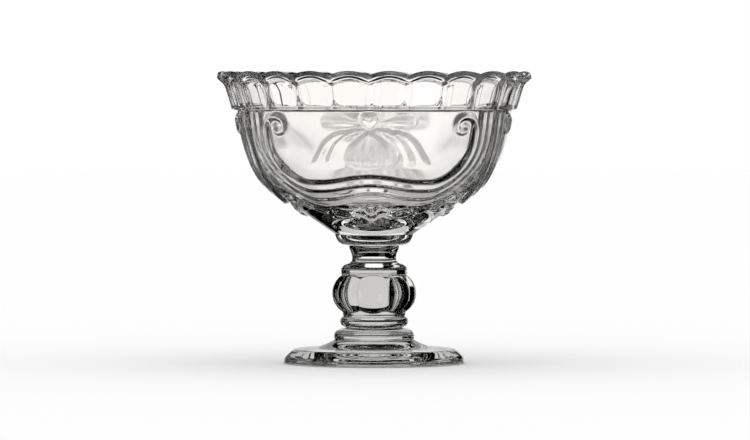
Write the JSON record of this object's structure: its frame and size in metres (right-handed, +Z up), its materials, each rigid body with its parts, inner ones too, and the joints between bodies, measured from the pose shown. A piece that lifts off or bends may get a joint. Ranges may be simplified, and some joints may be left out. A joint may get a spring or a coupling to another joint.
{
  "type": "sundae dish",
  "caption": "Footed sundae dish in clear pressed glass: scalloped fluted rim, reeded scroll panels with leaf relief, lobed knop stem and spreading foot.",
  "frame": {"origin": "middle of the foot, on the surface the dish stands on", "axes": "+Z up along the axis of the dish, -Y out of the front scroll panel"},
  "size_m": [0.1098, 0.1098, 0.102],
  "materials": {
    "glass": "clear, fire polished"
  },
  "bodies": {
    "root": {"bowl": "glass", "joining_wafer": "glass", "stem": "glass", "foot": "glass"}
  },
  "joints": []
}
